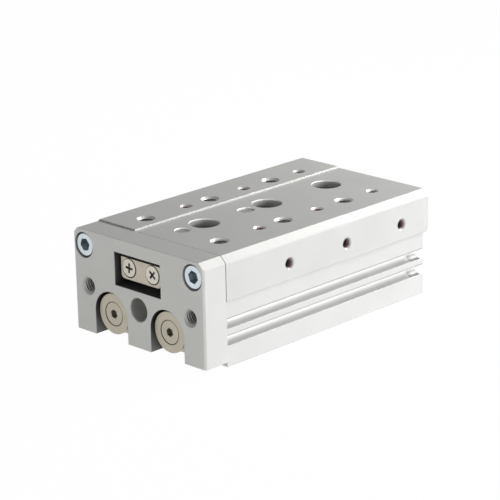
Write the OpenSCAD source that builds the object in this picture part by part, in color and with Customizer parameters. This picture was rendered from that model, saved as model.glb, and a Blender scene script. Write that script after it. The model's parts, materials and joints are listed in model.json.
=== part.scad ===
// Compact pneumatic slide table: two air cylinders side by side in one body, a ball guide on top
// of it, and a moving table with an end plate that the two piston rods push and pull.
//
// X runs across the table, +Y from the end plate to the rear, +Z up. The origin is at the middle
// of the whole part, on the body's mounting face. Depths below are counted from the front face of
// the end plate, and each node is moved to the origin in one place, by in_frame().

/* [Table] */
// Width of the table and of the end plate
table_w = 62; // [60:0.5:70]
// Length of the table without the end plate
table_l = 99.5; // [99:0.5:106]
// Height of the table's top above the mounting face
top_z = 37.6; // [35:0.2:42]
// Height of the table's side walls
skirt_h = 15.2; // [14.2:0.1:15.2]
// Distance of the raised strip's edge from the middle of the table
strip_edge = 11.3; // [9:0.1:13]
// Height of the raised strip
strip_h = 0.5; // [0.2:0.1:1]
// Thickness of the table above the guide rail
table_web = 2.8; // [2.6:0.1:3.2]
// Chamfer along the two long top edges
edge_chamfer = 2.2; // [0.5:0.1:3]

/* [End plate] */
// Thickness of the end plate
plate_t = 10; // [9.6:0.1:12]
// Gap between the end plate and the surface that the body stands on
plate_clear = 1.8; // [0.5:0.1:2.5]
// Width of the window round the guide block
window_w = 22; // [20.5:0.1:24]
// How far the window reaches below the top of the body
window_step = 0.8; // [0:0.1:1.6]
// Thickness of the end plate above the window
window_web = 4.6; // [4.2:0.1:5.2]
// Width of the slot for each rod end
slot_w = 15.8; // [15.2:0.1:17]
// Thickness of the web that each rod end clamps
slot_web = 2.2; // [1.6:0.1:3]
// Depth of the slot's front pocket
pocket_t = 5.4; // [5:0.1:5.8]

/* [Body] */
// Width of the cylinder body
body_w = 61; // [58:0.5:61.5]
// Length of the cylinder body
body_l = 97; // [94:0.5:98.5]
// Height of the guide and the table above the top of the body
guide_h = 15.4; // [15.4:0.1:16.6]
// Gap between the end plate and the body
body_gap = 0.3; // [0.2:0.1:1]
// Opening of the sensor grooves
groove_w = 3.4; // [2.6:0.1:3.8]
// Diameter inside the sensor grooves
groove_d = 4.4; // [4:0.1:4.6]
// Height of the lower sensor groove
groove_z = 8.95; // [7:0.05:10]
// Distance between the two sensor grooves
groove_pitch = 5.75; // [5.2:0.05:6.5]

/* [Cylinders] */
// Bore of each cylinder
bore_d = 16; // [14:0.5:16]
// Distance between the two cylinder axes
bore_pitch = 26.8; // [26:0.1:28]
// How far the cylinder axes lie below the middle of the body's height
bore_drop = 0.8; // [0:0.1:1.4]
// Stroke of the table
stroke = 50; // [30:1:52]
// Diameter of the piston rods
rod_d = 8; // [7:0.5:8.5]
// Length of each piston
piston_l = 14; // [13:0.5:16]
// Length of each head cap
cap_l = 8; // [7:0.5:9]
// Thickness of the rubber bumpers
bumper_t = 1.2; // [0.8:0.1:2]
// Core diameter of the air port threads
port_d = 4.2; // [3.3:0.1:5]
// Diameter of the air passages
passage_d = 2.5; // [1.5:0.1:3]

/* [Rod ends] */
// Diameter of the discs on the rod ends
disc_d = 14; // [13:0.1:14.8]
// How far the discs lie behind the end plate's front face
disc_recess = 1.2; // [0.5:0.1:2]
// Diameter of the spigot that passes through the web
spigot_d = 8; // [7:0.1:8.4]
// Head diameter of the countersunk screws
csk_d = 8.2; // [7.5:0.1:9]
// Thread diameter of the countersunk screws
csk_thread = 4; // [3:0.5:5]

/* [Ball guide] */
// Width of the guide block
block_w = 18.6; // [18:0.1:19]
// Length of the guide block without its end caps
block_l = 90; // [89:0.5:94]
// How far the guide block's face lies behind the end plate's front face
block_recess = 1.6; // [0.8:0.1:2]
// Outer width of the guide rail
rail_w = 28; // [26:0.5:28.5]
// Gap between the guide block and the rail
guide_gap = 0.6; // [0.4:0.1:0.8]
// Thickness of the rail's web
rail_web = 2.2; // [2:0.1:2.4]
// Depth of the ball race below the table's top
race_drop = 8.6; // [8.1:0.1:9.1]
// Diameter of the balls
ball_d = 2; // [1.6:0.1:2.2]
// Distance between neighbouring balls
ball_pitch = 3; // [2.5:0.1:5]

/* [Mounting holes] */
// Distance between the rows of large threads on the table
row_pitch = 30; // [26:0.5:31]
// Depth of the first row of large threads
row_y = 20.8; // [19:0.1:22]
// Distance between the left and right threads on the table
column_pitch = 35; // [34:0.5:40]
// Distance between the rows of small threads
small_pitch = 28; // [24:0.5:28]
// Depth of the first row of small threads
small_y = 39.5; // [39:0.1:41]
// Depth of the side's small threads below the table's top
side_drop = 9.5; // [8.6:0.1:10.6]
// Distance between the mounting holes of the body
mount_pitch = 30; // [28:0.5:30]
// Depth of the first mounting hole of the body
mount_y = 31; // [31:0.1:33]
// Diameter of the body's mounting holes
mount_d = 5.4; // [5.2:0.1:5.6]
// Diameter of the access holes in the table
access_d = 10.6; // [10:0.1:11.6]
// Core diameter of the large threads
large_core = 5; // [4.2:0.1:5.2]
// Core diameter of the small threads
small_core = 3.3; // [2.5:0.1:3.5]
// Diameter of the locating pin holes
pin_d = 5; // [4:0.5:5]
// Diameter of the two locating recesses in the table's top
recess_d = 5.4; // [4.5:0.1:6]
// Distance between the threads in the end plate's front
front_pitch = 48.6; // [48:0.1:49.5]
// Depth of the threads in the end plate's front below the window's lower edge
front_drop = 3.35; // [2.4:0.05:4.4]
// Diameter of the locating bore in the end plate's front
front_bore_d = 8; // [7:0.1:8.4]
// Depth of the locating bore's centre below the window's lower edge
front_bore_drop = 6.25; // [5.8:0.05:6.4]

/* [Hidden] */

$fn = 48;
eps = 0.01;            // how far a cut runs past the face that it opens
fit = 0.05;            // radial clearance of a part in its seat
seat_gap = 0.2;        // free travel left between a piston and its bumper
hole_chamfer = 0.2;    // chamfer at the mouth of a threaded hole
recess_t = 0.5;        // depth of the two locating recesses in the table's top
corner_r = 1.6;        // rounding of the table's lower rear corners
edge_break = 0.6;      // small chamfer on the end plate's upright edges

total_l = plate_t + table_l;
skirt_z = top_z - skirt_h;
body_h = top_z - guide_h;
bore_z = body_h / 2 - bore_drop;
window_z = body_h - window_step;
window_top = top_z - window_web;
side_z = top_z - side_drop;
front_z = window_z - front_drop;
front_bore_z = window_z - front_bore_drop;
body_y = plate_t + body_gap;
body_end = body_y + body_l;
sides = [-1, 1];
bore_x = bore_pitch / 2;
rows = [0, 1, 2];

// fasteners: plate screws are M4, block, rail and cap screws M3
plate_screw_core = 3.3;
plate_screw_hole = 4.5;
plate_head_d = 7.6;
plate_head_h = 5;
plate_cbore_d = 8.9;
plate_cbore_t = plate_head_h + 0.5;
plate_screw_x = table_w / 2 - 5.2;
plate_screw_z = top_z - 5.5;
plate_screw_l = 16;
small_screw_d = 3;
small_screw_core = 2.5;
small_screw_hole = 3.4;
block_head_d = 5.5;
block_head_h = 3;
block_screw_grip = 4.8;  // how far a block screw reaches into the guide block
rail_head_d = 5.4;
cross_w = 3.4;         // reach of the cross recess

// sealing of the cylinders
ring_t = 1;
ring_groove_t = 1.1;
ring_groove_d = bore_d + 1.4;
ring_inset = 1.2;      // from the body's face to the retaining ring
cover_y = body_y + ring_inset + ring_groove_t;
head_cap_end = body_end - ring_inset - ring_groove_t;
head_cap_y = head_cap_end - cap_l;
piston_end = head_cap_y - bumper_t - seat_gap;
piston_y = piston_end - piston_l;
cover_end = piston_y - stroke - seat_gap - bumper_t;
nose_l = 6;
nose_d = bore_d - 4;
port_depth = 6;
front_port_y = cover_end - nose_l + passage_d / 2 + 0.4;
rear_port_y = head_cap_y + nose_l / 4 + passage_d / 2 - 0.6;
o_ring_d = 1.5;
o_ring_seat = bore_d - 2 * o_ring_d - 6 * fit;   // diameter at the bottom of the grooves
seal_d = rod_d + 5;
seal_t = 3.5;

// pistons
piston_d = bore_d - 0.6;
spindle_d = 5;
spindle_core = 4.2;
nut_w = 8;
nut_t = 2.7;
nut_recess_d = 10;
nut_recess = nut_t + 0.3;
magnet_t = 3;
magnet_inner = 9.6;
piston_seal_t = 2.4;
piston_seal_inner = 11;
wear_t = 2;
wear_inner = 13.4;
magnet_y = piston_y + 1.5;
piston_seal_y = magnet_y + magnet_t + 1;
wear_y = piston_seal_y + piston_seal_t + 0.8;

// rod ends
disc_t = pocket_t - disc_recess - 0.05;
web_slot_w = spigot_d + 1;
spigot_end = pocket_t + slot_web + 0.3;
washer_y = spigot_end;
washer_t = plate_t + 0.1 - washer_y;
rod_front_y = washer_y + washer_t;
csk_l = 16;
csk_hex = 2.8;
csk_hex_t = 1.8;
csk_tip_gap = 2;         // thread left free behind the screw's tip
block_hex = 2.5;
block_hex_t = 1.5;
plate_hex = 4;
plate_hex_t = 2.6;
rail_hex = 2;
rail_hex_t = 1;

// ball guide
rail_inner = block_w / 2 + guide_gap;
rail_top = top_z - table_web;
rail_under = rail_top - rail_web;
rail_bottom = skirt_z + 1;
block_top = rail_under - guide_gap;
block_bottom = body_h;
cover_plate_t = 1.2;
return_cap_t = 4.8;
cap_z = body_h + 1.8;
cap_top = block_top - 0.6;
cap_w = block_w;
cap_corner = 1.4;
block_y = block_recess + cover_plate_t + return_cap_t;
block_end = block_y + block_l;
block_foot_y = body_y + 4;
cap_screw_x = block_w / 2 - 3.75;
cap_screw_z = (cap_z + block_top) / 2;
race_z = top_z - race_drop;
cap_head_d = 6.4;
cap_screw_l = 9.5;
cap_hole_l = 4;
race_x = (block_w / 2 + rail_inner) / 2;
race_r = ball_d / 2 + 0.08;
return_x = block_w / 2 - 1.7;
return_z = race_z - 3.5;
return_r = ball_d / 2 + 0.1;
ball_start = plate_t + 2;
ball_count = floor((block_end - 2 - ball_start) / ball_pitch) + 1;
block_hole_d = access_d - 1.2;
rail_screw_x = block_w / 2 - 2.9;

function mount_rows() = [for (i = rows) mount_y + i * mount_pitch];
function screw_rows() = [for (i = rows) mount_y + (i - 0.5) * mount_pitch];
function table_rows() = [for (i = rows) row_y + i * row_pitch];
function columns() = [-column_pitch / 2, column_pitch / 2];
function small_rows() = [for (i = rows) small_y + i * small_pitch];
function pin_rows() = [mount_y - mount_pitch / 4, mount_y + 1.75 * mount_pitch];

// ---- helpers ----

// moves a node from depths counted from the end plate's front face to the part's own frame
module in_frame() translate([0, -total_l / 2, 0]) children();

// a cylinder that runs towards the rear from the depth y
module bar_y(x, y, z, d, l) translate([x, y, z]) rotate([-90, 0, 0]) cylinder(d = d, h = l);

// a profile in X and Z, drawn as X and Y, pulled towards the rear from the depth y
module pulled(y, l) translate([0, y + l, 0]) rotate([90, 0, 0]) linear_extrude(l) children();

// a chamfered mouth for a hole of diameter d, opening towards +Z at the origin
module mouth(d, c = hole_chamfer)
    translate([0, 0, -c]) cylinder(d1 = d, d2 = d + 2 * c + 2 * eps, h = c + eps);

// a threaded hole's core with a chamfered mouth, opening towards +Z at the origin
module tapped(core, nominal, depth) {
    translate([0, 0, -depth]) cylinder(d = core, h = depth + eps);
    c = (nominal - core) / 2 + hole_chamfer;
    mouth(core, c);
}

// a hexagonal key socket, opening towards +Z at the origin
module hex_socket(w, depth)
    translate([0, 0, -depth]) cylinder(d = w / cos(30), h = depth + eps, $fn = 6);

// both cylinders' copies of a piece
module both_bores() for (s = sides) translate([s * bore_x, 0, bore_z]) children();

// a ring about the Y axis from the depth y
module ring_y(y, d_out, d_in, l) difference() {
    bar_y(0, y, 0, d_out, l);
    bar_y(0, y - eps, 0, d_in, l + 2 * eps);
}

// an O-ring about the Y axis, its middle at the depth y, touching a bore of diameter d_out
module o_ring(y, d_out) translate([0, y, 0]) rotate([-90, 0, 0])
    rotate_extrude() translate([(d_out - o_ring_d) / 2, 0]) circle(d = o_ring_d, $fn = 24);

// ---- fixed pieces ----

module body() color("gainsboro") difference() {
    pulled(body_y, body_l) difference() {
        translate([-body_w / 2, 0]) square([body_w, body_h]);
        for (s = sides) translate([s * bore_x, bore_z]) circle(d = bore_d);
        for (i = [0, 1]) translate([body_w / 2, groove_z + i * groove_pitch]) sensor_groove();
    }
    ring_grooves();
    body_holes();
    air_ports();
}

// outline of a sensor groove that opens towards +X at the origin
module sensor_groove() {
    depth = sqrt(pow(groove_d / 2, 2) - pow(groove_w / 2, 2));
    translate([-depth, 0]) circle(d = groove_d, $fn = 32);
    translate([-depth, -groove_w / 2]) square([depth + eps, groove_w]);
}

module ring_grooves() both_bores() {
    bar_y(0, body_y + ring_inset, 0, ring_groove_d, ring_groove_t);
    bar_y(0, body_end - ring_inset - ring_groove_t, 0, ring_groove_d, ring_groove_t);
}

module body_holes() {
    for (y = mount_rows()) translate([0, y, -eps]) cylinder(d = mount_d, h = body_h + 2 * eps);
    for (y = screw_rows()) translate([0, y, -eps]) {
        cylinder(d = small_screw_hole, h = body_h + 2 * eps);
        cylinder(d = block_head_d + 0.5, h = block_head_h + 0.5 + eps);
    }
    translate([0, pin_rows()[0], -eps]) cylinder(d = pin_d, h = 4 + eps);
    translate([0, pin_rows()[1], 0]) slotted_hole(pin_d, 4);
}

// a round hole, 1 mm longer along Y, cut upwards from the origin
module slotted_hole(d, depth) {
    for (s = sides) translate([0, s * 0.5, -eps]) cylinder(d = d, h = depth + eps);
    translate([-d / 2, -0.5, -eps]) cube([d, 1, depth + eps]);
}

module air_ports() for (y = [front_port_y, rear_port_y]) translate([-body_w / 2, y, bore_z])
    rotate([0, -90, 0]) {
        tapped(port_d, port_d + 0.8, port_depth);
        translate([0, 0, -body_w / 2 - bore_x]) cylinder(d = passage_d, h = body_w / 2 + bore_x);
    }

module guide_block() color("silver") difference() {
    union() {
        translate([-block_w / 2, block_y, cap_z]) cube([block_w, block_l, block_top - cap_z]);
        translate([-block_w / 2, block_foot_y, block_bottom])
            cube([block_w, block_end - block_foot_y, cap_z - block_bottom + eps]);
    }
    for (s = sides) {
        bar_y(s * race_x, block_y - eps, race_z, 2 * race_r, block_l + 2 * eps);
        bar_y(s * return_x, block_y - eps, return_z, 2 * return_r, block_l + 2 * eps);
        for (y = [block_y, block_end - cap_hole_l])
            bar_y(s * cap_screw_x, y - eps, cap_screw_z, small_screw_core, cap_hole_l + 2 * eps);
    }
    for (y = mount_rows()) translate([0, y, block_bottom - eps])
        cylinder(d = block_hole_d, h = block_top - block_bottom + 2 * eps);
    for (y = screw_rows()) translate([0, y, block_bottom - eps])
        cylinder(d = small_screw_core, h = 6);
}

// outline of the guide block's end: square on top, rounded below
module cap_outline(inset = 0) {
    w = cap_w - 2 * inset;
    h = cap_top - cap_z - inset;
    translate([-w / 2, cap_z + cap_corner]) square([w, h - cap_corner]);
    translate([-w / 2 + cap_corner, cap_z]) square([w - 2 * cap_corner, cap_corner + eps]);
    for (s = sides) translate([s * (w / 2 - cap_corner), cap_z + cap_corner]) circle(cap_corner);
}

// steel plate on the end of a return cap, its outer face towards the front
module cover_plate() difference() {
    pulled(0, cover_plate_t) cap_outline();
    for (s = sides) {
        bar_y(s * cap_screw_x, -eps, cap_screw_z, small_screw_d + 0.4, cover_plate_t + 1);
        translate([s * cap_screw_x, 0, cap_screw_z]) rotate([90, 0, 0])
            mouth(small_screw_d + 0.4, (cap_head_d + 0.2 - small_screw_d - 0.4) / 2);
    }
}

// the turn of a ball circuit between the load race and the return bore
module ball_turn(s) {
    mid = [s * (race_x + return_x) / 2, (race_z + return_z) / 2];
    dx = s * (race_x - return_x);
    dz = race_z - return_z;
    turn_r = sqrt(dx * dx + dz * dz) / 2;
    translate([mid[0], return_cap_t, mid[1]]) rotate([0, -atan2(dz, dx), 0]) rotate([180, 0, 0])
        rotate_extrude(angle = 180) translate([turn_r, 0]) circle(return_r, $fn = 24);
}

// return cap of the ball circuits, its outer face towards the front
module return_cap() difference() {
    pulled(0, return_cap_t) cap_outline(0.2);
    for (s = sides) {
        bar_y(s * cap_screw_x, -eps, cap_screw_z, small_screw_d + 0.8, return_cap_t + 1);
        ball_turn(s);
    }
}

module front_cover_plate() color("tan") translate([0, block_recess, 0]) cover_plate();

module rear_cover_plate() color("tan")
    translate([0, block_end + return_cap_t + cover_plate_t, 0]) mirror([0, 1, 0]) cover_plate();

module front_return_cap() color("dimgray")
    translate([0, block_recess + cover_plate_t, 0]) return_cap();

module rear_return_cap() color("dimgray")
    translate([0, block_end + return_cap_t, 0]) mirror([0, 1, 0]) return_cap();

// countersunk screw with a cross recess, its head flush at the depth 0
module cap_screw() difference() {
    union() {
        bar_y(0, 0, 0, small_screw_core - 0.1, cap_screw_l);
        rotate([-90, 0, 0]) cylinder(d1 = cap_head_d, d2 = small_screw_core, h = 1.7);
    }
    for (a = [0, 90]) rotate([0, a, 0]) translate([-cross_w / 2, -eps, -0.4]) cube([cross_w, 1 + eps, 0.8]);
}

module cap_screws() color("tan") for (s = sides) {
    turn = s > 0 ? 42 : 4;
    translate([s * cap_screw_x, block_recess, cap_screw_z]) rotate([0, turn, 0]) cap_screw();
    translate([s * cap_screw_x, block_end + return_cap_t + cover_plate_t, cap_screw_z])
        rotate([0, turn, 180]) cap_screw();
}

// one straight row of balls on each side
module ball_rows(x, z) for (s = sides, i = [0 : ball_count - 1])
    translate([s * x, ball_start + i * ball_pitch, z]) sphere(d = ball_d, $fn = 24);

module load_balls() color("white") ball_rows(race_x, race_z);

module return_balls() color("white") ball_rows(return_x, return_z);

module block_screws() color("dimgray") for (y = screw_rows()) translate([0, y, 0]) difference() {
    union() {
        translate([0, 0, 0.4]) cylinder(d = block_head_d, h = block_head_h);
        translate([0, 0, 0.4]) cylinder(d = small_screw_core - 0.1, h = body_h + block_screw_grip);
    }
    translate([0, 0, 0.4]) mirror([0, 0, 1]) hex_socket(block_hex, block_hex_t);
}

// rod cover: bearing for the rod, with a seal pocket in front and a thin nose behind
module rod_cover() difference() {
    union() {
        bar_y(0, cover_y, 0, bore_d - 2 * fit, cover_end - nose_l - cover_y);
        bar_y(0, cover_y, 0, nose_d, cover_end - cover_y);
    }
    bar_y(0, cover_y - eps, 0, rod_d + 2 * fit, cover_end - cover_y + 1);
    bar_y(0, cover_y - eps, 0, seal_d, seal_t + eps);
    ring_y(cover_y + seal_t + 2, bore_d + 1, o_ring_seat, o_ring_d + 0.5);
}

module left_rod_cover() color("goldenrod") translate([-bore_x, 0, bore_z]) rod_cover();

module right_rod_cover() color("goldenrod") translate([bore_x, 0, bore_z]) rod_cover();

module rod_seals() color("black") both_bores() difference() {
    ring_y(cover_y + 0.3, seal_d - 2 * fit, rod_d + 2 * fit, seal_t - 0.3);
    ring_y(cover_y, seal_d - 2, rod_d + 2, 1.2);
}

module cover_o_rings() color("black") both_bores()
    o_ring(cover_y + seal_t + 2.25 + o_ring_d / 2, bore_d - 2 * fit);

// spring ring that holds a cover in its bore, open at the bottom
module retaining_ring() difference() {
    ring_y(0, ring_groove_d - 0.1, bore_d - 2.4, ring_t);
    translate([-2.6, -eps, -bore_d]) cube([5.2, ring_t + 2 * eps, bore_d]);
}

module cover_rings() color("dimgray") both_bores()
    translate([0, body_y + ring_inset, 0]) retaining_ring();

module cover_bumpers() color("black") both_bores()
    ring_y(cover_end, nose_d, rod_d + 1, bumper_t);

module head_cap() difference() {
    union() {
        bar_y(0, head_cap_y, 0, nose_d, cap_l);
        bar_y(0, head_cap_y + nose_l / 2, 0, bore_d - 2 * fit, cap_l - nose_l / 2);
    }
    ring_y(head_cap_end - o_ring_d - 1.6, bore_d + 1, o_ring_seat, o_ring_d + 0.5);
    translate([0, head_cap_end, 0]) rotate([-90, 0, 0]) tapped(small_screw_core, small_screw_d, 4);
}

module left_head_cap() color("silver") translate([-bore_x, 0, bore_z]) head_cap();

module right_head_cap() color("silver") translate([bore_x, 0, bore_z]) head_cap();

module cap_o_rings() color("black") both_bores()
    o_ring(head_cap_end - 1.35 - o_ring_d / 2, bore_d - 2 * fit);

module cap_rings() color("dimgray") both_bores()
    translate([0, body_end - ring_inset - ring_groove_t, 0]) retaining_ring();

module head_bumpers() color("black") both_bores()
    bar_y(0, head_cap_y - bumper_t, 0, nose_d, bumper_t);

// ---- moving pieces ----

// outline of the end plate or table from the height z up, with a strip raised by h on the left
module top_outline(z, h = 0) polygon([
    [-table_w / 2, z],
    [table_w / 2, z],
    [table_w / 2, top_z - edge_chamfer],
    [table_w / 2 - edge_chamfer, top_z],
    if (h > 0) [-strip_edge, top_z],
    if (h > 0) [-strip_edge, top_z + h],
    [-table_w / 2 + edge_chamfer, top_z + h],
    [-table_w / 2, top_z + h - edge_chamfer]]);

module table_outline() difference() {
    top_outline(skirt_z, strip_h);
    translate([-rail_w / 2 - fit, skirt_z - eps]) square([rail_w + 2 * fit, rail_top - skirt_z + eps]);
}

module table() color("gainsboro") difference() {
    pulled(plate_t, table_l) table_outline();
    lower_corners();
    table_holes();
    for (s = sides) bar_y(s * plate_screw_x, plate_t - eps, plate_screw_z, plate_screw_core, 13);
}

// rounding of the rear lower corners of the table's side walls
module lower_corners() translate([-table_w / 2 - 1, total_l - corner_r, skirt_z + corner_r])
    rotate([0, 90, 0]) difference() {
        translate([-eps, 0, 0]) cube([corner_r + 2 * eps, corner_r + eps, table_w + 2]);
        translate([0, 0, -1]) cylinder(r = corner_r, h = table_w + 4);
    }

// the table's top face at a place left or right of the strip's edge
function surface_z(x) = x < -strip_edge ? top_z + strip_h : top_z;

module table_holes() {
    for (x = columns(), y = table_rows()) translate([x, y, surface_z(x)])
        tapped(large_core, large_core + 1, 10);
    for (x = columns(), y = small_rows()) translate([x, y, surface_z(x)])
        tapped(small_core, small_core + 0.7, 7);
    for (y = small_rows()) translate([table_w / 2, y, side_z]) rotate([0, 90, 0])
        tapped(small_core, small_core + 0.7, 8);
    for (y = mount_rows()) translate([0, y, skirt_z]) cylinder(d = access_d, h = skirt_h + 1);
    translate([0, table_rows()[0], top_z - recess_t]) cylinder(d = recess_d, h = 3);
    translate([0, table_rows()[1], top_z - recess_t]) slotted_hole(recess_d, 3);
    for (s = sides, y = screw_rows()) translate([s * rail_screw_x, y, rail_top - eps])
        cylinder(d = small_screw_core, h = table_web - 0.7);
}

module end_plate() color("gainsboro") difference() {
    pulled(0, plate_t) difference() {
        top_outline(plate_clear);
        translate([-window_w / 2, window_z]) square([window_w, window_top - window_z]);
        for (s = sides) translate([s * bore_x, 0]) rod_slot(web_slot_w);
    }
    for (s = sides) translate([s * bore_x, 0, 0]) {
        pulled(-eps, pocket_t + eps) rod_slot(slot_w);
        pulled(pocket_t + slot_web, plate_t) rod_slot(slot_w);
    }
    for (s = sides) {
        bar_y(s * plate_screw_x, -eps, plate_screw_z, plate_screw_hole, plate_t + 1);
        bar_y(s * plate_screw_x, -eps, plate_screw_z, plate_cbore_d, plate_cbore_t + eps);
        translate([s * front_pitch / 2, 0, front_z]) rotate([90, 0, 0])
            tapped(large_core, large_core + 1, plate_t + eps);
        translate([s * table_w / 2, 0, top_z / 2])
            rotate([0, 0, 45]) cube([edge_break * sqrt(2), edge_break * sqrt(2), top_z + 1], center = true);
    }
    translate([0, 0, front_bore_z]) rotate([90, 0, 0]) {
        translate([0, 0, -plate_t - eps]) cylinder(d = front_bore_d, h = plate_t + 2 * eps);
        mouth(front_bore_d, 0.3);
    }
}

// outline of a slot with a round top, open at the bottom
module rod_slot(w) {
    translate([0, bore_z]) circle(d = w);
    translate([-w / 2, 0]) square([w, bore_z]);
}

// socket head cap screw, the head's face at the depth 0
module plate_screw() difference() {
    union() {
        bar_y(0, 0, 0, plate_head_d, plate_head_h);
        bar_y(0, plate_head_h - eps, 0, plate_screw_core - 0.1, plate_screw_l);
    }
    rotate([90, 0, 0]) hex_socket(plate_hex, plate_hex_t);
}

module plate_screws() color("lightsteelblue") for (s = sides)
    translate([s * plate_screw_x, plate_cbore_t - plate_head_h, plate_screw_z])
        rotate([0, s * 12, 0]) plate_screw();

module guide_rail() color("silver") difference() {
    pulled(plate_t + 0.1, table_l - 0.6) difference() {
        translate([-rail_w / 2, rail_bottom]) square([rail_w, rail_top - rail_bottom]);
        translate([-rail_inner, rail_bottom - 1]) square([2 * rail_inner, rail_under - rail_bottom + 1]);
        for (s = sides) translate([s * race_x, race_z]) circle(race_r, $fn = 32);
    }
    for (y = mount_rows()) translate([0, y, rail_under - 1]) cylinder(d = access_d, h = rail_web + 2);
    for (s = sides, y = screw_rows()) translate([s * rail_screw_x, y, rail_under])
        mirror([0, 0, 1]) {
            translate([0, 0, -rail_web - 1]) cylinder(d = small_screw_hole, h = rail_web + 2);
            mouth(small_screw_hole, (rail_head_d + 0.2 - small_screw_hole) / 2);
        }
}

module rail_screws() color("dimgray") for (s = sides, y = screw_rows())
    translate([s * rail_screw_x, y, rail_under]) difference() {
        union() {
            cylinder(d1 = rail_head_d, d2 = small_screw_core, h = 1.4);
            cylinder(d = small_screw_core - 0.1, h = rail_web + table_web - 1);
        }
        mirror([0, 0, 1]) hex_socket(rail_hex, rail_hex_t);
    }

// piston rod with a threaded front end and a thinner spindle for the piston
module piston_rod() difference() {
    union() {
        bar_y(0, rod_front_y, 0, rod_d, piston_y - rod_front_y);
        bar_y(0, piston_y - eps, 0, spindle_d, piston_l - nut_recess + eps);
        bar_y(0, piston_y, 0, spindle_core, piston_l - 0.3);
    }
    bar_y(0, rod_front_y - eps, 0, csk_thread - 0.7, csk_l);
}

module left_piston_rod() color("silver") translate([-bore_x, 0, bore_z]) piston_rod();

module right_piston_rod() color("silver") translate([bore_x, 0, bore_z]) piston_rod();

// piston with grooves for the magnet, the seal and the wear ring
module piston() difference() {
    bar_y(0, piston_y, 0, piston_d, piston_l);
    bar_y(0, piston_y - 1, 0, spindle_d + 2 * fit, piston_l + 2);
    bar_y(0, piston_end - nut_recess, 0, nut_recess_d, nut_recess + 1);
    ring_y(magnet_y, bore_d, magnet_inner, magnet_t);
    ring_y(piston_seal_y, bore_d, piston_seal_inner, piston_seal_t);
    ring_y(wear_y, bore_d, wear_inner, wear_t);
}

module left_piston() color("gainsboro") translate([-bore_x, 0, bore_z]) piston();

module right_piston() color("gainsboro") translate([bore_x, 0, bore_z]) piston();

module piston_seals() color("black") both_bores() difference() {
    ring_y(piston_seal_y + fit, bore_d - 2 * fit, piston_seal_inner + 2 * fit, piston_seal_t - 2 * fit);
    ring_y(piston_seal_y + piston_seal_t / 2 - 0.4, bore_d + 1, bore_d - 1.2, 0.8);
}

module piston_magnets() color("darkslategray") both_bores()
    ring_y(magnet_y + fit, piston_d - 0.4, magnet_inner + 2 * fit, magnet_t - 2 * fit);

module wear_rings() color("ivory") both_bores()
    ring_y(wear_y + fit, bore_d - 2 * fit, wear_inner + 2 * fit, wear_t - 2 * fit);

module piston_nuts() color("dimgray") both_bores() difference() {
    translate([0, piston_end - nut_recess, 0]) rotate([-90, 0, 0])
        cylinder(d = nut_w / cos(30), h = nut_t, $fn = 6);
    bar_y(0, piston_end - nut_recess - 1, 0, spindle_core + 2 * fit, nut_t + 2);
}

// disc with a spigot that passes through the end plate's web, countersunk for its screw
module rod_disc() difference() {
    union() {
        bar_y(0, disc_recess, 0, disc_d, disc_t);
        bar_y(0, disc_recess, 0, spigot_d, spigot_end - disc_recess);
    }
    bar_y(0, disc_recess - eps, 0, csk_thread + 0.4, plate_t);
    translate([0, disc_recess, 0]) rotate([90, 0, 0])
        mouth(csk_thread + 0.4, (csk_d + 0.3 - csk_thread - 0.4) / 2);
}

module left_disc() color("tan") translate([-bore_x, 0, bore_z]) rod_disc();

module right_disc() color("tan") translate([bore_x, 0, bore_z]) rod_disc();

module rear_washers() color("tan") both_bores()
    ring_y(washer_y, disc_d, csk_thread + 0.4, washer_t);

module rod_end_screws() color("tan") both_bores() rotate([0, 15, 0]) difference() {
    union() {
        translate([0, disc_recess, 0]) rotate([-90, 0, 0])
            cylinder(d1 = csk_d, d2 = csk_thread, h = (csk_d - csk_thread) / 2);
        bar_y(0, disc_recess, 0, csk_thread - 0.8, rod_front_y - disc_recess + csk_l - csk_tip_gap);
    }
    translate([0, disc_recess, 0]) rotate([90, 0, 0]) hex_socket(csk_hex, csk_hex_t);
}

in_frame() body();
in_frame() guide_block();
in_frame() front_cover_plate();
in_frame() rear_cover_plate();
in_frame() front_return_cap();
in_frame() rear_return_cap();
in_frame() cap_screws();
in_frame() load_balls();
in_frame() return_balls();
in_frame() block_screws();
in_frame() left_rod_cover();
in_frame() right_rod_cover();
in_frame() rod_seals();
in_frame() cover_o_rings();
in_frame() cover_rings();
in_frame() cover_bumpers();
in_frame() left_head_cap();
in_frame() right_head_cap();
in_frame() cap_o_rings();
in_frame() cap_rings();
in_frame() head_bumpers();
in_frame() table();
in_frame() end_plate();
in_frame() plate_screws();
in_frame() guide_rail();
in_frame() rail_screws();
in_frame() left_piston_rod();
in_frame() right_piston_rod();
in_frame() left_piston();
in_frame() right_piston();
in_frame() piston_seals();
in_frame() piston_magnets();
in_frame() wear_rings();
in_frame() piston_nuts();
in_frame() left_disc();
in_frame() right_disc();
in_frame() rear_washers();
in_frame() rod_end_screws();
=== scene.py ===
import json
import math

import bpy
from mathutils import Matrix, Vector


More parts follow.
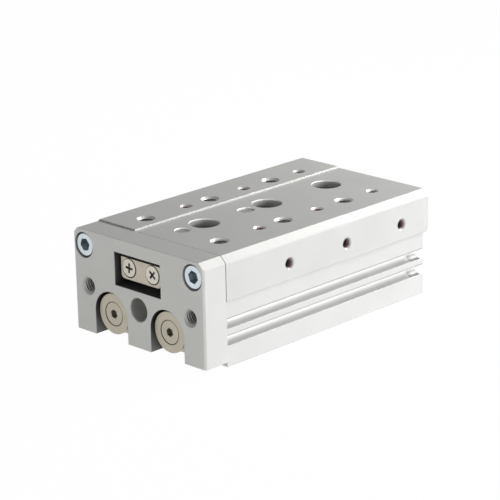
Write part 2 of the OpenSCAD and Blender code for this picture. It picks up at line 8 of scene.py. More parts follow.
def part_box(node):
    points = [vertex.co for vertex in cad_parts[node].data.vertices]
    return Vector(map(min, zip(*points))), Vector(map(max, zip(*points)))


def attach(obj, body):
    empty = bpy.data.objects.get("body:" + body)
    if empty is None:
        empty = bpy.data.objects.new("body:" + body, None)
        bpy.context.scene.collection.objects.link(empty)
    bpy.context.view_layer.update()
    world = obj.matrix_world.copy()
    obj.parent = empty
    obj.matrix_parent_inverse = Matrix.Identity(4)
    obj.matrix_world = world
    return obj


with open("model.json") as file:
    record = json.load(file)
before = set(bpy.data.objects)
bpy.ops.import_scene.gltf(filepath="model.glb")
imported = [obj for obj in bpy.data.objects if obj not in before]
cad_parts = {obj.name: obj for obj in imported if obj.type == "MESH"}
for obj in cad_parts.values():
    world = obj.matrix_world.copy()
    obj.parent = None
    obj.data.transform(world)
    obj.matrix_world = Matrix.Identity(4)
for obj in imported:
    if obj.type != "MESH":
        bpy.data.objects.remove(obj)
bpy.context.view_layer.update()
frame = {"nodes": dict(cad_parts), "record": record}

MM = 0.001
NODES = frame["nodes"]
MOUNTS = {m["name"]: m for m in frame["record"]["mounts"]}


# ---- camera ----

LENS_MM = 160.4          # on a 36 mm sensor
AZIMUTH = math.radians(44.85)
ELEVATION = math.radians(18.07)
ROLL = math.radians(-1.23)
DISTANCE = 767.35 * MM
AIM = Vector((0.0, 5.25, 20.0)) * MM
AIM_RIGHT = 5.44 * MM    # how far the picture's middle lies from AIM, in the picture's own plane
AIM_UP = -0.95 * MM


def make_camera():
    back = Vector((math.sin(AZIMUTH) * math.cos(ELEVATION),
                   -math.cos(AZIMUTH) * math.cos(ELEVATION),
                   math.sin(ELEVATION)))
    level = Vector((math.cos(AZIMUTH), math.sin(AZIMUTH), 0.0))
    upright = back.cross(level)
    right = math.cos(ROLL) * level + math.sin(ROLL) * upright
    up = math.cos(ROLL) * upright - math.sin(ROLL) * level
    data = bpy.data.cameras.new("camera")
    data.sensor_width = 36.0
    data.lens = LENS_MM
    data.clip_start = 0.01
    data.clip_end = 50.0
    camera = bpy.data.objects.new("camera", data)
    bpy.context.scene.collection.objects.link(camera)
    place = AIM + back * DISTANCE - right * AIM_RIGHT - up * AIM_UP
    axes = Matrix((right, up, back)).transposed().to_4x4()
    camera.matrix_world = Matrix.Translation(place) @ axes
    bpy.context.scene.camera = camera


# ---- materials ----

class Shader:
    """A node material with one Principled shader, and short calls for the nodes in front of it."""

    def __init__(self, name):
        self.material = bpy.data.materials.new(name)
        self.material.use_nodes = True
        self.tree = self.material.node_tree
        self.bsdf = self.tree.nodes["Principled BSDF"]
        self.place = self.add("ShaderNodeTexCoord").outputs["Object"]

    def add(self, kind, **values):
        node = self.tree.nodes.new(kind)
        for key, value in values.items():
            setattr(node, key, value)
        return node

    def link(self, source, target):
        self.tree.links.new(source, target)

    def noise(self, per_mm, detail, roughness=0.55, stretch=(1.0, 1.0, 1.0)):
        """Noise with per_mm features in a millimetre, stretched along an axis by a small factor."""
        mapping = self.add("ShaderNodeMapping")
        mapping.inputs["Scale"].default_value = stretch
        self.link(self.place, mapping.inputs["Vector"])
        noise = self.add("ShaderNodeTexNoise")
        noise.inputs["Scale"].default_value = per_mm / MM
        noise.inputs["Detail"].default_value = detail
        noise.inputs["Roughness"].default_value = roughness
        self.link(mapping.outputs["Vector"], noise.inputs["Vector"])
        return noise.outputs["Fac"]

    def span(self, value, low, high, start=0.3, end=0.7):
        """value, mapped from start..end to low..high."""
        node = self.add("ShaderNodeMapRange")
        node.inputs["From Min"].default_value = start
        node.inputs["From Max"].default_value = end
        node.inputs["To Min"].default_value = low
        node.inputs["To Max"].default_value = high
        self.link(value, node.inputs["Value"])
        return node.outputs["Result"]

    def blend(self, factor, first, second):
        """The colour between two plain ones, from first at 0 to second at 1."""
        node = self.add("ShaderNodeMix", data_type="RGBA")
        node.inputs[6].default_value = (*first, 1.0)
        node.inputs[7].default_value = (*second, 1.0)
        self.link(factor, node.inputs[0])
        return node.outputs[2]

    def cavity(self, reach_mm, darkest):
        """Painted shade: grey that falls from white on open faces to darkest in tight recesses."""
        node = self.add("ShaderNodeAmbientOcclusion", samples=8, only_local=True)
        node.inputs["Distance"].default_value = reach_mm * MM
        return self.blend(node.outputs["AO"], (darkest,) * 3, (1.0,) * 3)

    def rounded(self, radius_mm):
        """Normals that run round the sharp edges."""
        node = self.add("ShaderNodeBevel", samples=6)
        node.inputs["Radius"].default_value = radius_mm * MM
        return node.outputs["Normal"]

    def toned(self, color, factor, tone):
        """color, times the grey tone where factor is 1."""
        return self.multiply(color, self.blend(factor, (1.0,) * 3, (tone,) * 3))

    def inside(self, low, high):
        """1 within a box in metres, 0 outside it."""
        split = self.add("ShaderNodeSeparateXYZ")
        self.link(self.place, split.inputs[0])
        within = []
        for axis in range(3):
            apart = self.add("ShaderNodeMath", operation="COMPARE")
            apart.inputs[1].default_value = (low[axis] + high[axis]) / 2
            apart.inputs[2].default_value = (high[axis] - low[axis]) / 2
            self.link(split.outputs[axis], apart.inputs[0])
            within.append(apart.outputs[0])
        return self.product(self.product(within[0], within[1]), within[2])

    def rise(self, axis, start, end):
        """0 up to start and 1 from end on, along an axis, in metres."""
        split = self.add("ShaderNodeSeparateXYZ")
        self.link(self.place, split.inputs[0])
        return self.span(split.outputs[axis], 0.0, 1.0, start, end)

    def both(self, operation, first, second):
        """Two values worked into one."""
        node = self.add("ShaderNodeMath", operation=operation)
        self.link(first, node.inputs[0])
        self.link(second, node.inputs[1])
        return node.outputs[0]

    def product(self, first, second):
        return self.both("MULTIPLY", first, second)

    def larger(self, first, second):
        return self.both("MAXIMUM", first, second)

    def held(self, name):
        """A value that a mesh holds in its points."""
        return self.add("ShaderNodeAttribute", attribute_name=name).outputs["Fac"]

    def multiply(self, first, second):
        """The product of two colours."""
        node = self.add("ShaderNodeMix", data_type="RGBA", blend_type="MULTIPLY")
        node.inputs[0].default_value = 1.0
        self.link(first, node.inputs[6])
        self.link(second, node.inputs[7])
        return node.outputs[2]

    def lighten(self, color, factor):
        """color, turned white where factor is 1."""
        node = self.add("ShaderNodeMix", data_type="RGBA")
        node.inputs[7].default_value = (1.0, 1.0, 1.0, 1.0)
        self.link(factor, node.inputs[0])
        self.link(color, node.inputs[6])
        return node.outputs[2]

    def bump(self, height, depth_mm, strength, below=None):
        """Normals of a relief, on top of the normals below."""
        node = self.add("ShaderNodeBump")
        node.inputs["Distance"].default_value = depth_mm * MM
        node.inputs["Strength"].default_value = strength
        self.link(height, node.inputs["Height"])
        if below is not None:
            self.link(below, node.inputs["Normal"])
        return node.outputs["Normal"]


def shade(color, level):
    """A colour made lighter or darker."""
    return tuple(min(1.0, channel * level) for channel in color)


def anodised(name, color, lines=None, recess=(4.5, 0.15), open_above=None, toned=(), fading=(), matt=()):
    """Fine-blasted, clear-anodised aluminium. lines is the stretch of faint drawing lines on an extrusion,
    recess is how tight a recess is that gets painted shade and how dark, open_above is the height from which
    recesses stay free of it, toned has boxes whose tone paints light (over 1) and shade (under 1) there, and
    fading has boxes whose painted tone sets in from one height to another. matt holds boxes with a rougher
    surface."""
    s = Shader(name)
    s.bsdf.inputs["Metallic"].default_value = 0.3
    cloud = s.noise(0.06, detail=3.0)
    grain = s.noise(9.0, detail=2.0, roughness=0.6)
    tone = s.blend(s.span(cloud, 0.0, 1.0), shade(color, 0.975), shade(color, 1.02))
    fine = s.multiply(tone, s.blend(s.span(grain, 0.0, 1.0), (0.965,) * 3, (1.0,) * 3))
    shadow = s.cavity(*recess)
    if open_above is not None:
        shadow = s.lighten(shadow, s.rise(2, open_above - 0.15 * MM, open_above))
    fine = s.multiply(fine, shadow)
    # Painted light and shade, box by box: a tone over 1 paints light, a tone under 1 paints shade.
    for low, high, tone_there in toned:
        fine = s.toned(fine, s.inside(low, high), tone_there)
    for low, high, start, end, tone_there in fading:
        fine = s.toned(fine, s.product(s.inside(low, high), s.rise(2, start, end)), tone_there)
    s.link(fine, s.bsdf.inputs["Base Color"])
    roughness = s.span(grain, 0.41, 0.52)
    for low, high in matt:
        roughness = s.larger(roughness, s.product(s.inside(low, high), s.span(grain, 0.86, 0.94)))
    s.link(roughness, s.bsdf.inputs["Roughness"])
    normal = s.bump(grain, 0.004, 0.5, below=s.rounded(0.25))
    if lines is not None:
        drawn = s.noise(2.2, detail=3.0, stretch=lines)
        normal = s.bump(drawn, 0.004, 0.5, below=normal)
    s.link(normal, s.bsdf.inputs["Normal"])
    return s.material


def metal(name, color, rough, metallic=1.0, stretch=(1.0, 1.0, 1.0), recess=1.0):
    """Plated, turned or ground metal, with a fine surface grain. recess is how dark the painted shade in tight
    recesses turns.
    """
    s = Shader(name)
    s.bsdf.inputs["Metallic"].default_value = metallic
    grain = s.noise(6.0, detail=3.0, stretch=stretch)
    cloud = s.noise(0.25, detail=2.0)
    tone = s.blend(s.span(cloud, 0.0, 1.0), shade(color, 0.95), shade(color, 1.04))
    # Painted shade in tight recesses.
    if recess < 1.0:
        tone = s.multiply(tone, s.cavity(2.5, recess))
    s.link(tone, s.bsdf.inputs["Base Color"])
    s.link(s.span(grain, rough - 0.06, rough + 0.06), s.bsdf.inputs["Roughness"])
    s.link(s.bump(grain, 0.003, 0.6, below=s.rounded(0.12)), s.bsdf.inputs["Normal"])
    return s.material


def soft(name, color, rough=0.6):
    """Moulded rubber or resin."""
    s = Shader(name)
    grain = s.noise(4.0, detail=4.0)
    cloud = s.noise(0.2, detail=2.0)
    s.link(s.blend(s.span(cloud, 0.0, 1.0), shade(color, 0.85), shade(color, 1.15)),
           s.bsdf.inputs["Base Color"])
    s.link(s.span(grain, rough - 0.08, rough + 0.08), s.bsdf.inputs["Roughness"])
    s.link(s.bump(grain, 0.01, 0.5), s.bsdf.inputs["Normal"])
    return s.material


def thread(name, color, root, mouth, deep, deepest):
    """Cut threads: root is the tone of the painted shade between the ridges, and from the depth mouth to deep, in
    millimetres, painted shade darkens the hole to deepest."""
    s = Shader(name)
    s.bsdf.inputs["Metallic"].default_value = 0.5
    grain = s.noise(9.0, detail=2.0)
    tone = s.blend(s.span(grain, 0.0, 1.0), shade(color, 0.94), color)
    # Painted shade between the ridges.
    tone = s.multiply(tone, s.blend(s.span(s.held("ridge"), 0.0, 1.0, 0.2, 0.8), (root,) * 3, (1.0,) * 3))
    # Painted shade that deepens down the hole.
    tone = s.toned(tone, s.span(s.held("depth"), 0.0, 1.0, mouth, deep), deepest)
    s.link(tone, s.bsdf.inputs["Base Color"])
    s.link(s.span(grain, 0.3, 0.4), s.bsdf.inputs["Roughness"])
    s.link(s.bump(grain, 0.003, 0.4), s.bsdf.inputs["Normal"])
    return s.material


# ---- places on the part ----

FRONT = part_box("end_plate")[0][1]
TOP = MOUNTS["table_face"]["pos_m"][2]
BORE_X = 13.4 * MM       # the cylinder axes
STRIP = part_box("table")[1][2] - TOP      # height of the raised strip
TABLE_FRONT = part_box("table")[0][1]
HALF_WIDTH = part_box("table")[1][0]
EDGE_CHAMFER = 2.2 * MM  # along the table's long top edges
RECESS_DEPTH = 0.5 * MM  # of the two shallow locating recesses
WINDOW_SILL = 21.1 * MM  # the end plate's window, a little inside its edges
WINDOW_TOP = 33.1 * MM
WINDOW_HALF = 11.1 * MM
PLATE_BACK = FRONT + 11 * MM             # behind the end plate
SLOT_PARTS = ((0.0, 14.5 * MM, 7.95 * MM),           # the end plate's slots: low end, high end, half width
              (14.5 * MM, 18.2 * MM, 6.7 * MM))
RIM_LOW = TOP - 0.45 * MM                # the chamfers at the mouths of the table's holes
RIM_HIGH = TOP - 0.02 * MM
RECESS_FLOOR = TOP - RECESS_DEPTH
STRIP_EDGE = -11.3 * MM                  # the raised strip's long edge
BODY_SIDE = 30.5 * MM
GROOVES = (8.95 * MM, 14.7 * MM)         # heights of the two sensor grooves
GROOVE_IN = 26 * MM                      # deeper than the grooves' backs
GROOVE_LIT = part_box("body")[1][1] - 4.9 * MM     # behind this the light reaches in through the open end
FAR = 1.0                # past the part along an axis
HAIR = 0.05 * MM         # how far a box runs past a face that it holds
CLEAR = 0.03 * MM        # how far it keeps off a face that it leaves out


# ---- painted light and shade, by place ----
# Each is (low corner, high corner, tone) of a box in the part's own coordinates. Those for fading also hold
# the height at which the tone starts and the height from which it is full, before the tone.

def both_sides(*boxes):
    """The boxes given, and the same ones on the part's -X side."""
    return boxes + tuple(((-high[0],) + low[1:], (-low[0],) + high[1:], *rest) for low, high, *rest in boxes)


# Painted shade on the walls inside the end plate's window.
WINDOW_WALL_SHADE = ((-WINDOW_HALF, FRONT + 0.3 * MM, WINDOW_SILL), (WINDOW_HALF, PLATE_BACK, WINDOW_TOP), 0.18)
# Painted shade on the end plate's slot walls, darker towards the top.
SLOT_WALL_SHADE = tuple(((middle - half, FRONT + 0.15 * MM, low), (middle + half, PLATE_BACK, high),
                    -20 * MM, 14 * MM, 0.06) for middle in (-BORE_X, BORE_X) for low, high, half in SLOT_PARTS)
# Painted light: the end plate's sides below the chamfer are made lighter.
PLATE_SIDE_LIGHT = ((HALF_WIDTH - HAIR, -FAR, 0.0), (HALF_WIDTH + HAIR, FAR, TOP - 2.9 * MM), 1.055)
CHAMFER_FACE = ((HALF_WIDTH - EDGE_CHAMFER + CLEAR, -FAR, TOP - EDGE_CHAMFER + CLEAR),
                (HALF_WIDTH - CLEAR, FAR, TOP - CLEAR))
# Painted highlight on the long top chamfers, setting in from below, on both sides.
CHAMFER_HIGHLIGHT = ((HALF_WIDTH - EDGE_CHAMFER + CLEAR, -FAR, TOP - 2.9 * MM), (HALF_WIDTH + HAIR, FAR, TOP - CLEAR),
                TOP - 2.8 * MM, TOP - 1.8 * MM, 1.22)
# Painted shade on the raised strip's front face.
STRIP_FRONT_SHADE = ((-FAR, TABLE_FRONT - HAIR, TOP + 0.02 * MM),
               (FAR, TABLE_FRONT + CLEAR, TOP + STRIP - 0.02 * MM), 0.66)
# Painted highlight on the raised strip's long side.
STRIP_SIDE_HIGHLIGHT = ((STRIP_EDGE - 0.06 * MM, -FAR, TOP + CLEAR),
              (STRIP_EDGE + 0.06 * MM, FAR, TOP + STRIP - CLEAR), 1.02)
# Painted shade on the access holes' walls below their mouths.
ACCESS_HOLE_SHADE = ((-5.4 * MM, FRONT, 0.0), (5.4 * MM, FAR, TOP - 0.15 * MM), 0.8)
# Painted highlight on the chamfers at the access holes' mouths.
ACCESS_RIM_HIGHLIGHTS = ((-5.6 * MM, -FAR, RIM_LOW), (5.6 * MM, FAR, RIM_HIGH), 1.5)
# Painted highlight on the chamfers at the mouths of the table's top holes.
RIM_HIGHLIGHTS = ((-28.7 * MM, -FAR, RIM_LOW), (28.7 * MM, FAR, RIM_HIGH), 1.45)
# Painted shade on the floors of the two shallow recesses.
RECESS_FLOOR_SHADE = ((-3.2 * MM, -FAR, RECESS_FLOOR - HAIR), (3.2 * MM, FAR, RECESS_FLOOR + HAIR), 0.8)
# Painted shade just inside the mouths of the table's side holes.
SIDE_MOUTH_SHADE = ((HALF_WIDTH - 0.7 * MM, -FAR, 25.5 * MM), (HALF_WIDTH - 0.3 * MM, FAR, 31 * MM), 0.75)
# Painted highlight on the sensor grooves' back walls, full from a little below their middle upwards.
GROOVE_BACK_HIGHLIGHTS = tuple(((GROOVE_IN, -FAR, z - 2.2 * MM), (BODY_SIDE - HAIR, FAR, z + 2.2 * MM),
                      z - 1.9 * MM, z - 0.8 * MM, 1.5) for z in GROOVES)
# Painted shade in the lower half of the grooves' last stretch behind GROOVE_LIT, darker towards the bottom.
GROOVE_END_SHADE = tuple(((GROOVE_IN, GROOVE_LIT, z - 2.3 * MM), (BODY_SIDE - 0.06 * MM, FAR, z),
                     z, z - 1.2 * MM, 0.42) for z in GROOVES)
# Painted shade along the grooves' lower sills.
GROOVE_SILL_SHADE = tuple(((BODY_SIDE - 1.3 * MM, -FAR, z - 1.76 * MM),
                      (BODY_SIDE - 0.06 * MM, FAR, z - 1.6 * MM), 0.62) for z in GROOVES)
# Painted shadow line along the grooves' upper lips.
GROOVE_LIP_SHADOWS = tuple(((BODY_SIDE - 0.3 * MM, -FAR, z + 1.65 * MM),
                     (BODY_SIDE + 0.1 * MM, FAR, z + 2.0 * MM), 0.6) for z in GROOVES)

ALONG_Y = (1.0, 0.02, 1.0)       # stretch of a grain that runs along the stroke

MATERIALS = {
    "body_aluminium": anodised("body_anodised", (0.62, 0.62, 0.605), lines=ALONG_Y, recess=(2.5, 0.38),
                               toned=GROOVE_LIP_SHADOWS + GROOVE_SILL_SHADE, fading=GROOVE_BACK_HIGHLIGHTS + GROOVE_END_SHADE),
    "table_aluminium": anodised("table_anodised", (0.588, 0.591, 0.568), recess=(4.5, 0.3),
                                open_above=RECESS_FLOOR - HAIR, matt=both_sides(CHAMFER_FACE),
                                toned=(ACCESS_HOLE_SHADE, STRIP_FRONT_SHADE, STRIP_SIDE_HIGHLIGHT, RIM_HIGHLIGHTS, ACCESS_RIM_HIGHLIGHTS, RECESS_FLOOR_SHADE,
                                       SIDE_MOUTH_SHADE),
                                fading=both_sides(CHAMFER_HIGHLIGHT)),
    "plate_aluminium": anodised("plate_anodised", (0.592, 0.595, 0.57), matt=both_sides(CHAMFER_FACE),
                                toned=(WINDOW_WALL_SHADE,) + both_sides(PLATE_SIDE_LIGHT),
                                fading=SLOT_WALL_SHADE + both_sides(CHAMFER_HIGHLIGHT)),
    # Darkened steel: painted shade on the guide block seen through the end plate's window.
    "hard_steel": metal("ground_steel", (0.22, 0.22, 0.22), rough=0.3, stretch=ALONG_Y),
    "nickel_steel": metal("warm_nickel", (0.57, 0.52, 0.43), rough=0.42, metallic=0.55, recess=0.2),
    "zinc_steel": metal("blue_zinc", (0.62, 0.69, 0.73), rough=0.28, metallic=0.9, recess=0.15),
    "black_steel": metal("black_oxide", (0.05, 0.05, 0.05), rough=0.4, metallic=0.6),
    "rod_steel": metal("chrome_rod", (0.72, 0.72, 0.73), rough=0.12, stretch=ALONG_Y),
    "ball_steel": metal("polished_balls", (0.75, 0.75, 0.76), rough=0.08),
    "cap_aluminium": metal("turned_aluminium", (0.66, 0.66, 0.65), rough=0.35),
    "bearing_bronze": metal("bearing_bronze", (0.55, 0.38, 0.18), rough=0.35),
    "seal_rubber": soft("seal_rubber", (0.018, 0.018, 0.018)),
    "resin": soft("black_resin", (0.02, 0.02, 0.021), rough=0.5),
    "wear_resin": soft("ivory_resin", (0.72, 0.69, 0.6), rough=0.5),
    "seam": soft("shadow_gap", (0.025, 0.025, 0.025), rough=0.8),
    "magnet": soft("magnet", (0.05, 0.045, 0.045), rough=0.6),
}
# A darker copy of the warm nickel: painted shade on the rod end discs and their screws.
SHADED_NICKEL = metal("rod_end_nickel", (0.52, 0.48, 0.39), rough=0.42, metallic=0.55, recess=0.2)
# A lighter copy of the warm nickel: painted light on the cover plate's screw heads.
LIT_NICKEL = metal("bright_nickel", (0.68, 0.64, 0.56), rough=0.36, metallic=0.6, recess=0.1)
NODE_MATERIALS = {"left_disc": SHADED_NICKEL, "right_disc": SHADED_NICKEL, "rod_end_screws": SHADED_NICKEL,
                  "cap_screws": LIT_NICKEL,
                  # A lighter copy of the ground steel: painted light on the rail seen down the access holes, with
                  # painted shade in its recesses.
                  "guide_rail": metal("satin_steel", (0.42, 0.42, 0.41), rough=0.35, stretch=ALONG_Y, recess=0.4)}


def dress_nodes():
    """A material for each CAD node."""
    for part in frame["record"]["subparts"]:
        node = NODES[part["node"]]
        node.data.materials.clear()
        node.data.materials.append(NODE_MATERIALS.get(part["node"], MATERIALS[part["material_slot"]]))


# ---- pieces ----

def new_piece(name, mesh, body, material):
    """A piece beside the CAD nodes, riding on a body."""
    piece = bpy.data.objects.new(name, mesh)
    bpy.context.scene.collection.objects.link(piece)
    mesh.materials.append(material)
    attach(piece, body)
    return piece


CSK_D = 8.2 * MM         # heads of the rod end screws
CAP_HEAD_D = 6.4 * MM    # heads of the cover plate screws
# The seams are dark rings and strips of painted shade in the gaps between parts.
SEAM = 0.42 * MM         # width of a dark seam round a disc's screw
CAP_SEAM = 0.5 * MM      # the same round a cover plate's screw
SIDE_SEAM = 0.24 * MM    # width of the line between the end plate and the table, on the sides
TOP_SEAM = 0.1 * MM      # the same on the top

THREAD_SIDES = 40        # steps round a thread
THREAD_STEPS = 6         # steps along one pitch
SLEEVE = 0.01 * MM       # how far a thread's sleeve reaches to either side of the drilled wall
RING_TURNS = 64          # steps round a dark ring
RING_SIDES = 8           # steps round its cross section


def thread_mesh(core_r, crest_in, pitch, length):
    """A threaded sleeve in a drilled hole: its outer wall lies on the hole's, its inner wall has the ridges.
    It runs from the origin down along -Z."""
    rows = int(length / pitch * THREAD_STEPS)
    verts, ridges, depths = [], [], []
    for row in range(rows + 1):
        z = -length * row / rows
        for side in range(THREAD_SIDES):
            turn = side / THREAD_SIDES
            phase = (z / pitch + turn) % 1.0
            ridge = 1.0 - abs(2.0 * phase - 1.0)
            ridge = min(1.0, max(0.0, 1.35 * ridge - 0.1))
            r = core_r - SLEEVE - crest_in * ridge
            angle = 2.0 * math.pi * turn
            verts.append((r * math.cos(angle), r * math.sin(angle), z))
            ridges.append(ridge)
            depths.append(-z / MM)
    inner = len(verts)
    for z in (0.0, -length):
        for side in range(THREAD_SIDES):
            angle = 2.0 * math.pi * side / THREAD_SIDES
            r = core_r + SLEEVE
            verts.append((r * math.cos(angle), r * math.sin(angle), z))
            ridges.append(0.0)
            depths.append(-z / MM)
    faces = []

    def ring(a, b, flip):
        for side in range(THREAD_SIDES):
            after = (side + 1) % THREAD_SIDES
            quad = (a + side, a + after, b + after, b + side)
            faces.append(quad[::-1] if flip else quad)

    for row in range(rows):
        ring(row * THREAD_SIDES, (row + 1) * THREAD_SIDES, False)
    top, bottom = inner, inner + THREAD_SIDES
    ring(top, bottom, True)
    ring(top, 0, False)
    ring(rows * THREAD_SIDES, bottom, False)
    mesh = bpy.data.meshes.new("thread")
    mesh.from_pydata(verts, [], faces)
    for name, values in (("ridge", ridges), ("depth", depths)):
        mesh.attributes.new(name, "FLOAT", "POINT").data.foreach_set("value", values)
    for polygon in mesh.polygons:
        polygon.use_smooth = True
    return mesh


def hole_places(mount_name):
    """The places of a bolt pattern's holes, on the mount's plane, as (place, axis)."""
    mount = MOUNTS[mount_name]
    axis = Vector(mount["axis"])
    centre = Vector(mount["pos_m"])
    dims = mount["dims"]
    across = [i for i in range(3) if abs(axis[i]) < 0.5]
    steps = []
    for i, key in zip(across, ("spacing_x_mm", "spacing_y_mm")):
        spacing = dims.get(key)
        if spacing is None:
            steps.append([(i, 0.0)])
            continue
        count = 2 if dims["count"] in (2, 4) else dims["count"]
        steps.append([(i, (k - (count - 1) / 2) * spacing * MM) for k in range(count)])
    places = []
    for i, u in steps[0]:
        for j, v in steps[1]:
            place = centre.copy()
            place[i] += u
            place[j] += v
            places.append((place, axis))
    return places


def add_threads(mount_name, body, slot_name, material, pitch, depth, ahead, raise_left=0.0):
    """Threads in every hole of a mount, with pitch and depth in millimetres. ahead is how many millimetres in
    front of the stated point they start, and raise_left lifts those left of the middle, in metres."""
    mount = MOUNTS[mount_name]
    dims = mount["dims"]
    if mount["kind"] == "bolt_pattern":
        core = dims["hole_r_mm"] * MM
        places = hole_places(mount_name)
    else:
        core = dims["r_mm"] * MM
        places = [(Vector(mount["pos_m"]), Vector(mount["axis"]))]
    for number, (place, axis) in enumerate(places):
        start = place + axis * ahead * MM
        if place.x < 0:
            start += axis * raise_left
        mesh = thread_mesh(core, 0.34 * pitch * MM, pitch * MM, depth * MM)
        turn = Vector((0, 0, 1)).rotation_difference(axis).to_matrix().to_4x4()
        mesh.transform(Matrix.Translation(start) @ turn)
        new_piece(f"{mount_name}.{number}", mesh, body, material)


def add_joint_seam():
    """Painted shade: a dark strip in the joint between the end plate and the table, on both sides and over the
    top.
    """
    low = Vector(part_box("table")[0])
    half, proud, sunk = HALF_WIDTH, 0.012 * MM, 0.4 * MM
    corners = [(half + proud, low.z), (half + proud, TOP - EDGE_CHAMFER), (half - EDGE_CHAMFER, TOP + proud)]
    top = [(half - EDGE_CHAMFER, TOP + proud / 2), (EDGE_CHAMFER - half, TOP + proud / 2)]
    left = [(-x, z) for x, z in corners]
    verts, faces = [], []
    for line, width in ((corners, SIDE_SEAM), (top, TOP_SEAM), (left, SIDE_SEAM)):
        first = len(verts)
        for x, z in line:
            inner_x = x - math.copysign(sunk, x)
            inner_z = z - sunk if z > low.z else z
            for dy in (-width / 2, width / 2):
                verts.append((x, low.y + dy, z))
                verts.append((inner_x, low.y + dy, inner_z))
        for i in range(len(line) - 1):
            a = first + 4 * i
            b = a + 4
            faces += [(a, a + 2, b + 2, b), (a + 1, b + 1, b + 3, a + 3),
                      (a, b, b + 1, a + 1), (a + 2, a + 3, b + 3, b + 2)]
        faces += [(first, first + 1, first + 3, first + 2), (b, b + 2, b + 3, b + 1)]
    mesh = bpy.data.meshes.new("joint_seam")
    mesh.from_pydata(verts, [], faces)
    new_piece("joint_seam", mesh, "slide", MATERIALS["seam"])


def add_all_threads():
    bright = thread("thread_cut", (0.85, 0.85, 0.84), root=0.3, mouth=0.0, deep=1.5, deepest=0.16)
    rosy = thread("rosy_cut", (0.86, 0.645, 0.625), root=0.8, mouth=0.1, deep=0.55, deepest=0.05)
    # A darker copy of the rosy cut: painted shade in the table's side holes.
    rosy_in_shade = thread("brown_cut", (0.40, 0.29, 0.285), root=0.6, mouth=0.5, deep=1.8, deepest=0.4)
    ridged = thread("ridged_cut", (0.85, 0.85, 0.83), root=0.06, mouth=2.0, deep=6.0, deepest=0.3)
    on_table = ("slide", "table_aluminium")
    for name in ("table_large_threads_corners", "table_large_threads_middle"):
        add_threads(name, *on_table, bright, pitch=1.0, depth=8.6, ahead=0.1, raise_left=STRIP)
    for name in ("table_small_threads_corners", "table_small_threads_middle"):
        add_threads(name, *on_table, rosy, pitch=0.7, depth=6.2, ahead=0.05, raise_left=STRIP)
    add_threads("table_side_threads", *on_table, rosy_in_shade, pitch=0.7, depth=7.0, ahead=0.12)
    add_threads("table_side_thread_middle", *on_table, rosy_in_shade, pitch=0.7, depth=7.0, ahead=3.8)
    add_threads("end_plate_threads", "slide", "plate_aluminium", ridged, pitch=1.0, depth=9.0, ahead=0.1)
    for name in ("front_air_port", "rear_air_port"):
        add_threads(name, "base", "body_aluminium", ridged, pitch=0.8, depth=5.2, ahead=2.7)


def seam_ring(radius, thickness, place, sink, lean):
    """A thin dark ring of painted shade round a screw head, its axis along Y and its middle sunk into the face.
    lean is how much deeper it runs for a step to the right and for one upwards, so that it fades out on one side."""
    mesh = bpy.data.meshes.new("seam_ring")
    verts, faces = [], []
    for i in range(RING_TURNS):
        a = 2.0 * math.pi * i / RING_TURNS
        after = (i + 1) % RING_TURNS
        for k in range(RING_SIDES):
            b = 2.0 * math.pi * k / RING_SIDES
            above = (k + 1) % RING_SIDES
            r = radius + thickness / 2 * math.cos(b)
            x, z = r * math.cos(a), r * math.sin(a)
            y = thickness * (0.5 * math.sin(b) + sink) + lean[0] * x + lean[1] * z
            verts.append((place[0] + x, place[1] + y, place[2] + z))
            faces.append((i * RING_SIDES + k, i * RING_SIDES + above,
                          after * RING_SIDES + above, after * RING_SIDES + k))
    mesh.from_pydata(verts, [], faces)
    for polygon in mesh.polygons:
        polygon.use_smooth = True
    return mesh


def add_seams():
    """Painted shade: dark rings in the gaps round the countersunk heads, half sunk into the faces."""
    seam = MATERIALS["seam"]
    screws_low, screws_high = (Vector(corner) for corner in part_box("rod_end_screws"))
    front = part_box("left_disc")[0][1]
    for side, x in (("left", -BORE_X), ("right", BORE_X)):
        place = (x, front, (screws_low.z + screws_high.z) / 2)
        mesh = seam_ring(CSK_D / 2, SEAM, place, 0.3, (0.012, 0.012))
        new_piece(f"{side}_disc_seam", mesh, "slide", seam)
    low, high = (Vector(corner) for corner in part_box("cap_screws"))
    for side, x in (("left", low.x + CAP_HEAD_D / 2), ("right", high.x - CAP_HEAD_D / 2)):
        for end, y, way in (("front", low.y, 1), ("rear", high.y, -1)):
            mesh = seam_ring(CAP_HEAD_D / 2, CAP_SEAM, (x, y, (low.z + high.z) / 2), way * 0.3,
                             (-0.028, way * 0.008))
            new_piece(f"{end}_{side}_cap_seam", mesh, "base", seam)


# ---- studio ----

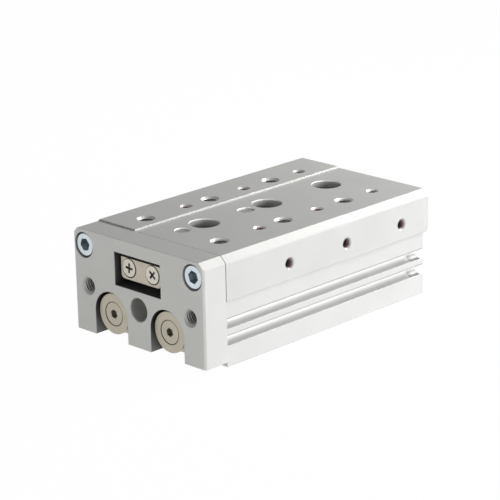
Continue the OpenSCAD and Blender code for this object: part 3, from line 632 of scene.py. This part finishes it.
def area_lamp(name, place, aim, size, power, color=(1.0, 1.0, 1.0)):
    data = bpy.data.lights.new(name, "AREA")
    data.shape = "RECTANGLE"
    data.size, data.size_y = size
    data.energy = power
    data.color = color
    lamp = bpy.data.objects.new(name, data)
    bpy.context.scene.collection.objects.link(lamp)
    lamp.location = place
    lamp.rotation_euler = (Vector(aim) - Vector(place)).to_track_quat("-Z", "Y").to_euler()


def make_floor():
    """A white floor that keeps a faint shadow."""
    mesh = bpy.data.meshes.new("floor")
    half = 6.0
    mesh.from_pydata([(-half, -half, 0), (half, -half, 0), (half, half, 0), (-half, half, 0)], [], [(0, 1, 2, 3)])
    floor = bpy.data.objects.new("floor", mesh)
    bpy.context.scene.collection.objects.link(floor)
    floor.location.z = -0.0002
    s = Shader("floor")
    s.bsdf.inputs["Base Color"].default_value = (0.86, 0.86, 0.86, 1.0)
    s.bsdf.inputs["Roughness"].default_value = 0.9
    white = s.add("ShaderNodeEmission")
    path = s.add("ShaderNodeLightPath")
    seen = s.larger(s.larger(path.outputs["Is Camera Ray"], path.outputs["Is Glossy Ray"]),
                    path.outputs["Is Transmission Ray"])
    mix = s.add("ShaderNodeMixShader")
    s.link(s.span(seen, 0.0, 0.985, 0.0, 1.0), mix.inputs["Fac"])
    s.link(s.bsdf.outputs[0], mix.inputs[1])
    s.link(white.outputs[0], mix.inputs[2])
    s.link(mix.outputs[0], s.tree.nodes["Material Output"].inputs["Surface"])
    mesh.materials.append(s.material)


def make_world():
    world = bpy.data.worlds.new("world")
    bpy.context.scene.world = world
    world.use_nodes = True
    background = world.node_tree.nodes["Background"]
    background.inputs["Color"].default_value = (1.0, 1.0, 1.0, 1.0)
    background.inputs["Strength"].default_value = 0.24


def make_studio():
    make_world()
    make_floor()
    area_lamp("key", (1.25, 0.15, 0.24), (0, 0, 0.02), (0.8, 0.3), 11.5, (0.985, 0.985, 1.02))
    area_lamp("front", (-0.05, -1.4, 0.10), (0, 0, 0.02), (0.9, 0.4), 6.0)
    area_lamp("rear", (0.11, 0.33, 0.27), (0, 0.03, 0.03), (0.16, 0.16), 1.8)


make_camera()
dress_nodes()
add_all_threads()
add_seams()
add_joint_seam()
make_studio()
bpy.context.scene.view_settings.view_transform = "Standard"
